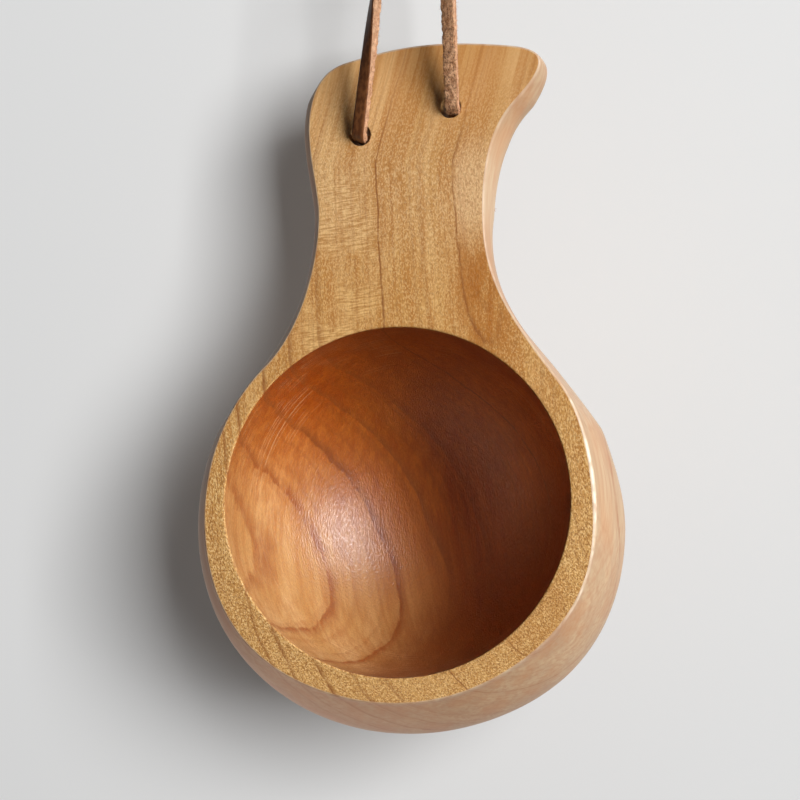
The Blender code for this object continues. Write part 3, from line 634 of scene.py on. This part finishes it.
def turned_hollow():
    """The hollow, turned on the lathe and finished by scraping in rings, then oiled, with fibres that glint.
    Its colour holds painted shade and reflected light, and a painted sheen on the rings.
    """
    material, tree, wood, shader = wood_finish("turned_wood", 1.15)
    place = cup_place(tree)
    across, sunk, above = add(tree, "SeparateXYZ", {0: place})
    # Painted shade and reflected light over the wood's own tone: darker and redder towards the upper right
    # and the lower right, a deeper orange at the upper left.
    painted_shade_upper_right = step(tree, number(tree, "ADD", across, above), -52, 8, 0.06, 1.0)
    colour = mix(tree, painted_shade_upper_right, wood["Colour"], (0.96, 0.48, 0.13, 1), "MULTIPLY")
    aslant = number(tree, "SUBTRACT", across, above)
    colour = mix(tree, step(tree, aslant, 14, 40), colour, (0.52, 0.31, 0.18, 1), "MULTIPLY")
    colour = mix(tree, step(tree, aslant, -36, -56), colour, (0.80, 0.60, 0.30, 1), "MULTIPLY")
    # Pale arcs on the scraping rings near the lip, in patches: real scrape marks, painted paler as a sheen.
    ring = add(tree, "TexNoise", {"W": sunk, "Scale": 2.0, "Detail": 2.0}, noise_dimensions="1D")[0]
    arc_patches = grain_noise(tree, place, (9, 9, 9), 2.0, 13.0)
    scrapes_and_sheen = number(tree, "MULTIPLY", step(tree, ring, 0.57, 0.64), step(tree, arc_patches, 0.44, 0.60))
    scrapes_and_sheen = number(tree, "MULTIPLY", scrapes_and_sheen, step(tree, sunk, 32, 20))
    colour = mix(tree, number(tree, "MULTIPLY", scrapes_and_sheen, 0.42), colour, (0.70, 0.42, 0.22, 1))
    colour = mix(tree, wood["Line"], colour, (0.275, 0.070, 0.011, 1))
    glint = grain_noise(tree, place, (0.34, 0.34, 0.95), 1.0, 19.0)
    colour = mix(tree, step(tree, glint, 0.60, 0.42), colour, (0.90, 0.88, 0.85, 1), "MULTIPLY")
    tree.links.new(colour, shader.inputs["Base Color"])
    tree.links.new(bump(tree, number(tree, "MULTIPLY_ADD", ring, 0.3, glint), 0.11), shader.inputs["Normal"])
    tree.links.new(step(tree, glint, 0.4, 0.6, 0.46, 0.34), shader.inputs["Roughness"])
    shader.inputs["IOR"].default_value = 1.85
    return material


cup = Carving()
PLANED, SANDED, TURNED = range(3)
face_edge = carve_outside(cup)
sand_root(cup)
cup.finish(SANDED)
lip_edge = carve_hollow(cup)
cup.finish(TURNED)
plane_face(cup, face_edge, lip_edge)
cup.finish(PLANED)
cup_mesh = bpy.data.meshes.new("cup")
cup_mesh.from_pydata(cup.points.tolist(), [], cup.faces)
for material in (planed_face(), sanded_side(), turned_hollow()):
    cup_mesh.materials.append(material)
cup_mesh.polygons.foreach_set("material_index", cup.finishes)
bm = bmesh.new()
bm.from_mesh(cup_mesh)
bmesh.ops.recalc_face_normals(bm, faces=bm.faces)
bm.normal_update()
for vert in bm.verts:
    wave = noise.noise(vert.co / 14.0) + 0.5 * noise.noise(vert.co / 6.0)
    vert.co += vert.normal * wave * HAND_WAVE
bm.to_mesh(cup_mesh)
bm.free()
cup_mesh.transform(cup_to_world)
wooden_cup = bpy.data.objects.new("wooden_cup", cup_mesh)
bpy.context.scene.collection.objects.link(wooden_cup)


def drill_hole(name, place):
    """A lace hole right through the handle, its edge worn round at the face."""
    bm = bmesh.new()
    profile = [(0.0, -1.0), (HOLE_RADIUS + HOLE_LIP, -1.0)]
    for angle in np.linspace(0, np.pi / 2, 7):
        radius = HOLE_RADIUS + HOLE_LIP * (1 - math.sin(angle))
        profile.append((radius, 0.02 + HOLE_LIP * (1 - math.cos(angle))))
    profile += [(HOLE_RADIUS, 30.0), (0.0, 30.0)]
    verts = [bm.verts.new((place[0] + r, d, place[1])) for r, d in profile]
    edges = [bm.edges.new(pair) for pair in zip(verts, verts[1:])]
    centre = Vector((place[0], 0.0, place[1]))
    bmesh.ops.spin(
        bm, geom=verts + edges, cent=centre, axis=(0, 1, 0), angle=2 * math.pi, steps=48, use_merge=True
    )
    bmesh.ops.remove_doubles(bm, verts=bm.verts, dist=1e-4)
    bmesh.ops.recalc_face_normals(bm, faces=bm.faces)
    drill_mesh = bpy.data.meshes.new(name)
    bm.to_mesh(drill_mesh)
    bm.free()
    drill_mesh.transform(cup_to_world)
    drill = bpy.data.objects.new(name, drill_mesh)
    bpy.context.scene.collection.objects.link(drill)
    cut = wooden_cup.modifiers.new(name, "BOOLEAN")
    cut.operation = "DIFFERENCE"
    cut.solver = "EXACT"
    cut.object = drill
    return drill


left_hole = HOLES_MIDDLE - heading(HOLE_SLANT) * HOLE_SPACING / 2
right_hole = HOLES_MIDDLE + heading(HOLE_SLANT) * HOLE_SPACING / 2
drills = [drill_hole("left_drill", left_hole), drill_hole("right_drill", right_hole)]
drilled = bpy.data.meshes.new_from_object(wooden_cup.evaluated_get(bpy.context.evaluated_depsgraph_get()))
wooden_cup.modifiers.clear()
wooden_cup.data = drilled
for drill in drills:
    bpy.data.objects.remove(drill, do_unlink=True)
drilled.shade_smooth()
drilled.set_sharp_from_angle(angle=math.radians(38))
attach(wooden_cup, "cup")
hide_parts("cup_body")

# Lace
# One strip of brown leather, smooth on its grain side and rough on its flesh side. It goes up from
# the left hole, over whatever carries the cup and down to the right hole, and is knotted behind.
LACE_WIDTH = 3.2
LACE_THICKNESS = 2.2
LACE_REACH = math.hypot(LACE_WIDTH / 2, LACE_THICKNESS / 2 - 0.5)
LACE_LIFT = LACE_THICKNESS / 2 + 0.5
LACE_OFFSET = -0.6
KNOT_SQUEEZE = 0.75
PEG_RADIUS = 6.4
LEFT_TURN, LEFT_TWIST = 75.0, 38.0
RIGHT_TURN, RIGHT_TWIST = -88.0, 60.0
LEFT_LEAN, LEFT_TAIL = -7.0, 14.0
RIGHT_LEAN, RIGHT_TAIL = 6.0, 16.0
LACE_SHIFT = 0.8
TAIL_DROOP = 0.25
LACE_STEP = 0.35
GRAIN_SIDE, CUT_EDGE, FLESH_SIDE = range(3)
LACE_EDGES = (15, 0, 14, 6, 7)
RAGGED = 0.30
RAGGED_STEP = 0.9
FUZZ_PER_MM2 = 4.0
FUZZ_LENGTH = 0.75
FUZZ_THICKNESS = 0.10
FUZZ_SEED = 7
KNOT_ROUTE = [
    (2.1, -0.1, 0.0), (3.75, 0.0, -0.1), (4.8, 1.3, 0.0), (4.3, 3.05, 0.1), (2.65, 3.5, 0.5),
    (1.35, 2.6, 1.3), (1.05, 0.95, 1.9), (1.05, -0.8, 1.75), (1.4, -1.95, 0.7), (2.0, -1.9, -0.9),
    (2.6, -0.6, -1.9), (2.95, 0.95, -1.7), (3.0, 1.65, -0.25), (3.0, 1.7, 1.4), (2.9, 1.75, 3.3),
]


def in_world(points):
    """Points in the cup's own millimetres, moved to where it hangs, still in millimetres."""
    return np.array([tuple(cup_to_world @ Vector(p)) for p in points]) / MM


def knotted_end(hole, lean, tail_length):
    """From just behind the bend, through the hole, to a stopper knot and a short tail."""
    bend = np.array([hole[0], -LACE_LIFT, hole[1] + LACE_OFFSET])
    away = np.array([0.0, 1.0, 0.0])
    across, along_tail = heading(lean), heading(lean - 90)
    side = np.array([across[0], 0.0, across[1]])
    down = np.array([along_tail[0], 0.0, along_tail[1]])
    back = bend + away * (LACE_LIFT + depth(hole)[0])
    knot = [back + (a * away + b * side + c * down) * LACE_REACH for a, b, c in KNOT_ROUTE]
    tail_way = down + TAIL_DROOP * away
    tail_end = knot[-1] + tail_way / np.linalg.norm(tail_way) * tail_length
    tail = [knot[-1] + (tail_end - knot[-1]) * share for share in (0.33, 0.67, 1.0)]
    through = [bend + away * 2.4, bend + (back - bend) * 0.5, back]
    return in_world([bend])[0], in_world([*through, *knot, *tail])


def lace_route():
    """The whole lace, from the tip of its left tail to the tip of its right tail."""
    left_bend, left_end = knotted_end(left_hole, LEFT_LEAN, LEFT_TAIL)
    right_bend, right_end = knotted_end(right_hole + (LACE_SHIFT, 0.0), RIGHT_LEAN, RIGHT_TAIL)
    peg = np.array([LACE_SHIFT / 2, 0.0, -PEG_RADIUS])
    over = PEG_RADIUS + LACE_THICKNESS / 2
    angles = np.radians([180, 135, 90, 45, 0])
    arc = [peg + over * np.array([math.cos(a), 0.0, math.sin(a)]) for a in angles]
    into = np.array(tipped @ Vector((0.0, 1.0, 0.0)))
    rises = []
    for bend, top in ((left_bend, arc[0]), (right_bend, arc[-1])):
        up = (top - bend) / np.linalg.norm(top - bend)
        turn = bend + (up + into) * 0.45
        strand = [bend + (top - bend) * share for share in (0.2, 0.4, 0.6, 0.8)]
        rises.append([turn, bend + up * 2.2, *strand])
    return np.array([*left_end[::-1], *rises[0], *arc, *rises[1][::-1], *right_end])


def smooth_route(points, step):
    """A smooth curve through the points, then evenly spaced."""
    route = np.concatenate([[2 * points[0] - points[1]], points, [2 * points[-1] - points[-2]]])
    t = np.linspace(0, 1, 33)[:-1, None]
    fine = []
    for before, start, stop, after in zip(route, route[1:], route[2:], route[3:]):
        leave, arrive = start + (stop - before) / 6, stop - (after - start) / 6
        fine.append(bezier(start, leave, arrive, stop, t))
    fine = np.concatenate([*fine, points[-1:]])
    run = np.concatenate([[0.0], np.cumsum(np.linalg.norm(np.diff(fine, axis=0), axis=1))])
    even = np.linspace(0, run[-1], math.ceil(run[-1] / step))
    return np.stack([np.interp(even, run, fine[:, k]) for k in range(3)], axis=1), even


lace_line, lace_run = smooth_route(lace_route(), LACE_STEP)
lace_ways = np.gradient(lace_line, axis=0)
lace_ways /= np.linalg.norm(lace_ways, axis=1)[:, None]
top = int(np.argmax(lace_line[:, 2]))

# The grain side faces out over the top and is carried along without twist from there
grain_ways = np.zeros_like(lace_line)
grain_ways[top] = (0.0, 0.0, 1.0)
for order in (range(top + 1, len(lace_line)), range(top - 1, -1, -1)):
    last = grain_ways[top]
    for i in order:
        last = last - lace_ways[i] * (last @ lace_ways[i])
        last = last / np.linalg.norm(last)
        grain_ways[i] = last

# Down both sides it turns, until it lies nearly across each hole
bends = [
    int(np.argmin(np.linalg.norm(lace_line - in_world([(h[0], -LACE_LIFT, h[1] + LACE_OFFSET)])[0], axis=1)))
    for h in (left_hole, right_hole)
]
from_bend = np.where(
    np.arange(len(lace_run)) < top, lace_run - lace_run[bends[0]], lace_run[bends[1]] - lace_run
)
left_turn = LEFT_TURN * (1 - np.clip(from_bend / LEFT_TWIST, 0, 1) ** 2)
right_turn = RIGHT_TURN * (1 - np.clip(from_bend / RIGHT_TWIST, 0, 1) ** 2)
turn = np.radians(np.where(np.arange(len(lace_run)) < top, left_turn, right_turn))
side_ways = np.cross(lace_ways, grain_ways)
grain_ways = grain_ways * np.cos(turn)[:, None] + side_ways * np.sin(turn)[:, None]
side_ways = np.cross(lace_ways, grain_ways)

# Across, it is a flat strip with its edges eased; the knots squeeze it
squeeze = 1 - (1 - KNOT_SQUEEZE) * smooth(-from_bend / 12.0)


def strip_section(width, thickness, grain_ease, flesh_ease):
    """The lace across, from its grain side round: place across, place through."""
    corners = [
        (width / 2, thickness / 2, grain_ease, 0),
        (-width / 2, thickness / 2, grain_ease, 90),
        (-width / 2, -thickness / 2, flesh_ease, 180),
        (width / 2, -thickness / 2, flesh_ease, 270),
    ]
    section = []
    for x, y, ease, start in corners:
        middle = np.array([x - math.copysign(ease, x), y - math.copysign(ease, y)])
        section += [middle + ease * heading(start + a) for a in (0, 30, 60, 90)]
    return np.array(section)


section = strip_section(LACE_WIDTH, LACE_THICKNESS, 0.55, 0.4)
rings = (
    lace_line[:, None]
    + squeeze[:, None, None]
    * (section[None, :, :1] * side_ways[:, None] + section[None, :, 1:] * grain_ways[:, None])
)
# The cut edges and the flesh side are ragged
spread = rings - lace_line[:, None]
torn = np.array([noise.noise(Vector(point / RAGGED_STEP)) for point in rings.reshape(-1, 3)])
torn = torn.reshape(spread.shape[:2])
torn *= RAGGED * (section[:, 1] < LACE_THICKNESS / 4)
rings += torn[:, :, None] * spread / np.linalg.norm(spread, axis=2)[:, :, None]
count = len(section)
lace_points = rings.reshape(-1, 3) * MM
lace_faces = []
for i in range(len(rings) - 1):
    for k in range(count):
        n = (k + 1) % count
        lace_faces.append((i * count + k, i * count + n, (i + 1) * count + n, (i + 1) * count + k))
lace_faces.append(tuple(range(count))[::-1])
lace_faces.append(tuple((len(rings) - 1) * count + k for k in range(count)))
lace_mesh = bpy.data.meshes.new("lace")
lace_mesh.from_pydata(lace_points.tolist(), [], lace_faces)
bm = bmesh.new()
bm.from_mesh(lace_mesh)
bmesh.ops.recalc_face_normals(bm, faces=bm.faces)
bm.to_mesh(lace_mesh)
bm.free()
section_steps = np.linalg.norm(np.roll(section, -1, axis=0) - section, axis=1)
round_lace = np.concatenate([[0.0], np.cumsum(section_steps)])
strip_uv = lace_mesh.uv_layers.new(name="lace_strip")
for polygon in lace_mesh.polygons:
    sides = [lace_mesh.loops[k].vertex_index % count for k in polygon.loop_indices]
    for k, side in zip(polygon.loop_indices, sides):
        wrapped = side == 0 and max(sides) == count - 1
        ring = lace_mesh.loops[k].vertex_index // count
        strip_uv.data[k].uv = (round_lace[count if wrapped else side], lace_run[ring])
    first = min(sides) if max(sides) - min(sides) < count - 1 else count - 1
    if len(sides) > 4 or first in LACE_EDGES:
        polygon.material_index = CUT_EDGE
    else:
        polygon.material_index = GRAIN_SIDE if first < LACE_EDGES[-1] else FLESH_SIDE
lace_mesh.shade_smooth()
lace_mesh.set_sharp_from_angle(angle=math.radians(50))
lace = bpy.data.objects.new("leather_lace", lace_mesh)
bpy.context.scene.collection.objects.link(lace)


def leather_fibre():
    """How leather varies along the strip: broad mottle, fine fibres and dark specks."""
    tree = bpy.data.node_groups.new("leather_fibre", "ShaderNodeTree")
    for name in ("Mottle", "Fibre", "Speck"):
        tree.interface.new_socket(name, in_out="OUTPUT", socket_type="NodeSocketFloat")
    place = add(tree, "UVMap", uv_map="lace_strip")[0]
    mottle = grain_noise(tree, place, (0.9, 1.8, 1.0), 2.0)
    fibre = grain_noise(tree, place, (0.22, 0.45, 1.0), 2.0, 5.0)
    speck = step(tree, grain_noise(tree, place, (0.42, 0.60, 1.0), 2.0, 9.0), 0.50, 0.62)
    out = tree.nodes.new("NodeGroupOutput")
    for socket, value in zip(out.inputs, (mottle, fibre, speck)):
        tree.links.new(value, socket)
    return tree


leather = leather_fibre()


def leather_side(name, dark, light, specks, roughness, relief):
    """One side of the lace: two tones mottled together, specks and a fine relief."""
    material = bpy.data.materials.new(name)
    material.use_nodes = True
    tree = material.node_tree
    fibres = tree.nodes.new("ShaderNodeGroup")
    fibres.node_tree = leather
    varied = fibres.outputs
    shader = tree.nodes["Principled BSDF"]
    colour = mix(tree, step(tree, varied["Mottle"], 0.35, 0.65), (*dark, 1), (*light, 1))
    colour = mix(tree, number(tree, "MULTIPLY", varied["Speck"], specks), colour, (0.085, 0.030, 0.013, 1))
    tree.links.new(colour, shader.inputs["Base Color"])
    tree.links.new(bump(tree, varied["Fibre"], relief), shader.inputs["Normal"])
    shader.inputs["Roughness"].default_value = roughness
    return material


for leather_finish in (
    ("lace_grain_side", (0.100, 0.032, 0.010), (0.195, 0.070, 0.023), 0.15, 0.36, 0.03),
    ("lace_cut_edge", (0.42, 0.205, 0.10), (0.58, 0.33, 0.19), 0.25, 0.75, 0.12),
    ("lace_flesh_side", (0.33, 0.145, 0.060), (0.62, 0.345, 0.18), 0.60, 0.85, 0.35),
):
    lace_mesh.materials.append(leather_side(*leather_finish))


def fuzz_nodes():
    """Short fibres that stand up from the flesh side and the cut edges."""
    tree = bpy.data.node_groups.new("lace_fuzz", "GeometryNodeTree")
    tree.interface.new_socket("Geometry", in_out="INPUT", socket_type="NodeSocketGeometry")
    density = tree.interface.new_socket("Fibres per m2", in_out="INPUT", socket_type="NodeSocketFloat")
    length = tree.interface.new_socket("Fibre Length", in_out="INPUT", socket_type="NodeSocketFloat")
    seed = tree.interface.new_socket("Seed", in_out="INPUT", socket_type="NodeSocketInt")
    tree.interface.new_socket("Geometry", in_out="OUTPUT", socket_type="NodeSocketGeometry")
    given = tree.nodes.new("NodeGroupInput").outputs

    def node(kind, inputs=(), **options):
        made = tree.nodes.new(kind)
        for option, value in options.items():
            setattr(made, option, value)
        for key, value in dict(inputs).items():
            if isinstance(value, bpy.types.NodeSocket):
                tree.links.new(value, made.inputs[key])
            else:
                made.inputs[key].default_value = value
        return made.outputs

    index = node("GeometryNodeInputMaterialIndex")[0]
    rough = node(
        "FunctionNodeCompare", {2: index, 3: CUT_EDGE}, data_type="INT", operation="GREATER_EQUAL"
    )[0]
    spots = node("GeometryNodeDistributePointsOnFaces", {
        "Mesh": given["Geometry"], "Selection": rough,
        "Density": given["Fibres per m2"], "Seed": given["Seed"],
    })
    fibre = node("GeometryNodeMeshCone", {
        "Vertices": 3, "Radius Top": 0.004 * MM, "Radius Bottom": FUZZ_THICKNESS / 2 * MM,
        "Depth": given["Fibre Length"],
    })["Mesh"]
    lean = node("FunctionNodeRandomValue", {
        0: (-1.1, -1.1, 0.0), 1: (1.1, 1.1, 6.3), "Seed": given["Seed"],
    }, data_type="FLOAT_VECTOR")[0]
    stood = node("FunctionNodeRotateRotation", {
        "Rotation": spots["Rotation"], "Rotate By": lean,
    }, rotation_space="LOCAL")[0]
    size = node("FunctionNodeRandomValue", {2: 0.4, 3: 1.0, "Seed": given["Seed"]}, data_type="FLOAT")[1]
    fibres = node("GeometryNodeInstanceOnPoints", {
        "Points": spots["Points"], "Instance": fibre, "Rotation": stood, "Scale": size,
    })[0]
    real = node("GeometryNodeRealizeInstances", {"Geometry": fibres})[0]
    dyed = node("GeometryNodeSetMaterial", {"Geometry": real, "Material": lace_mesh.materials[FLESH_SIDE]})[0]
    joined = tree.nodes.new("GeometryNodeJoinGeometry")
    tree.links.new(dyed, joined.inputs[0])
    tree.links.new(given["Geometry"], joined.inputs[0])
    tree.links.new(joined.outputs[0], tree.nodes.new("NodeGroupOutput").inputs[0])
    return tree, {
        density.identifier: FUZZ_PER_MM2 / MM**2,
        length.identifier: FUZZ_LENGTH * MM,
        seed.identifier: FUZZ_SEED,
    }


fuzz = lace.modifiers.new("fuzz", "NODES")
fuzz.node_group, fuzz_values = fuzz_nodes()
for socket, value in fuzz_values.items():
    fuzz[socket] = value
fuzzy = bpy.data.meshes.new_from_object(lace.evaluated_get(bpy.context.evaluated_depsgraph_get()))
lace.modifiers.clear()
lace.data = fuzzy
swing = frame["record"]["behaviour"]["joints"][0]
pivot, hinge = Vector(swing["pos_m"]), Vector(swing["axis"])
into_cup = Vector((0.0, 1.0, -1.0))
into_cup = (into_cup - hinge * into_cup.dot(hinge) / hinge.length_squared).normalized()
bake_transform(lace)
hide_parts("lace_loop", "lace_left_end", "lace_right_end")

# Backdrop
# A wide sheet of pale paper behind the cup, clear of its swing. It is see-through from the
# back, so that the back of the cup can be looked at.
BACKDROP_BEHIND = 0.060
BACKDROP_REACH = 3
backdrop_mesh = bpy.data.meshes.new("backdrop")
ends = ((-1, -1), (1, -1), (1, 1), (-1, 1))
corners = [(x * BACKDROP_REACH, BACKDROP_BEHIND, z * BACKDROP_REACH) for x, z in ends]
backdrop_mesh.from_pydata(corners, [], [(0, 1, 2, 3)])
backdrop = bpy.data.objects.new("backdrop", backdrop_mesh)
bpy.context.scene.collection.objects.link(backdrop)
for ray in ("diffuse", "glossy", "transmission", "shadow"):
    setattr(backdrop, f"visible_{ray}", False)
paper = bpy.data.materials.new("pale_paper")
paper.use_nodes = True
nodes, links = paper.node_tree.nodes, paper.node_tree.links
matt = nodes["Principled BSDF"]
matt.inputs["Base Color"].default_value = (0.66, 0.665, 0.665, 1)
matt.inputs["Roughness"].default_value = 0.9
clear = nodes.new("ShaderNodeBsdfTransparent")
seen_from = nodes.new("ShaderNodeNewGeometry")
either = nodes.new("ShaderNodeMixShader")
links.new(seen_from.outputs["Backfacing"], either.inputs["Fac"])
matt.inputs["Emission Color"].default_value = (1.0, 0.99, 0.98, 1)
matt.inputs["Emission Strength"].default_value = 0.065
links.new(matt.outputs["BSDF"], either.inputs[1])
links.new(clear.outputs["BSDF"], either.inputs[2])
links.new(either.outputs["Shader"], nodes["Material Output"].inputs["Surface"])
backdrop_mesh.materials.append(paper)

# Light
# A soft key from the right lights the cup, and a window near it shows only in its gloss. Sky,
# floor and back lift the shade. The paper has a lamp that lights nothing else.
world = bpy.data.worlds.new("studio")
bpy.context.scene.world = world
world.use_nodes = True
tree = world.node_tree
across, into, above = add(tree, "SeparateXYZ", {0: add(tree, "TexCoord")["Generated"]})
unshaded = step(tree, number(tree, "MULTIPLY_ADD", above, -0.6, across), -0.6, 0.1, 0.35, 1.0)
lit_side = number(tree, "MULTIPLY", step(tree, into, -0.05, 0.3), unshaded)
room = add(tree, "Background", {"Strength": number(tree, "MULTIPLY_ADD", lit_side, 0.60, 0.05)})[0]
pale = add(tree, "Background", {"Color": (0.80, 0.79, 0.78, 1)})[0]
rays = add(tree, "LightPath")
mirrored = number(tree, "MAXIMUM", rays["Is Glossy Ray"], rays["Is Transmission Ray"])
shown = number(tree, "MAXIMUM", rays["Is Camera Ray"], number(tree, "MULTIPLY", mirrored, lit_side))
either = add(tree, "MixShader", {0: shown, 1: room, 2: pale})[0]
tree.links.new(either, tree.nodes["World Output"].inputs["Surface"])

off_backdrop = bpy.data.collections.new("off_backdrop")
off_backdrop.objects.link(backdrop)
off_backdrop.collection_objects[0].light_linking.link_state = "EXCLUDE"
on_backdrop = bpy.data.collections.new("on_backdrop")
on_backdrop.objects.link(backdrop)


def soft_light(name, way, distance, size, power, colour, lights=off_backdrop):
    """A square softbox that looks at the middle of the cup from the given way."""
    data = bpy.data.lights.new(name, "AREA")
    data.size = size
    data.energy = power
    data.color = colour
    light = bpy.data.objects.new(name, data)
    aim = Vector((0.0, 0.0, -0.1))
    way = Vector(way).normalized()
    light.location = aim + way * distance
    light.rotation_euler = way.to_track_quat("Z", "Y").to_euler()
    light.visible_camera = False
    light.light_linking.receiver_collection = lights
    bpy.context.scene.collection.objects.link(light)
    return light


key = soft_light("key", (0.76, -0.54, 0.37), 2.0, 1.1, 69.0, (0.98, 1.0, 1.01))
key.visible_glossy = False
window = soft_light("window", (0.82, -0.39, 0.47), 2.0, 1.3, 66.0, (0.80, 1.0, 1.16))
window.visible_diffuse = False
soft_light("sky", (0.72, -0.50, 0.45), 2.5, 2.6, 11.0, (0.98, 0.99, 1.0))
soft_light("floor", (-0.42, 0.05, -0.9), 1.2, 1.0, 7.6, (1.0, 0.69, 0.50))
soft_light("back", (0.2, 1.0, 0.5), 1.2, 0.8, 3.0, (1.0, 1.0, 1.0))
soft_light("paper", (0.54, -1.0, 0.34), 2.0, 0.68, 49.0, (1.0, 1.0, 1.0), on_backdrop)

# Camera
# It stands below and to the right of the mouth's axis, in the cup's own millimetres, with a lens
# that gives the cup its size in a square picture.
SENSOR_WIDTH = 36.0
FOCAL_PIXELS = 3079.44
PICTURE_PIXELS = 800
CAMERA_STANDS = (131.56, -704.19, -50.21)
CAMERA_LOOKS_AT = (1.041, 0.0, 23.804)
camera_data = bpy.data.cameras.new("camera")
camera_data.sensor_width = SENSOR_WIDTH
camera_data.lens = SENSOR_WIDTH * FOCAL_PIXELS / PICTURE_PIXELS
camera = bpy.data.objects.new("camera", camera_data)
stands = cup_to_world @ Vector(CAMERA_STANDS)
looks_at = cup_to_world @ Vector(CAMERA_LOOKS_AT)
forward = (looks_at - stands).normalized()
right = forward.cross(tipped.to_3x3() @ Vector((0.0, 0.0, 1.0))).normalized()
camera.matrix_world = Matrix.Translation(stands) @ Matrix(
    (right, right.cross(forward), -forward)
).transposed().to_4x4()
bpy.context.scene.collection.objects.link(camera)
bpy.context.scene.camera = camera
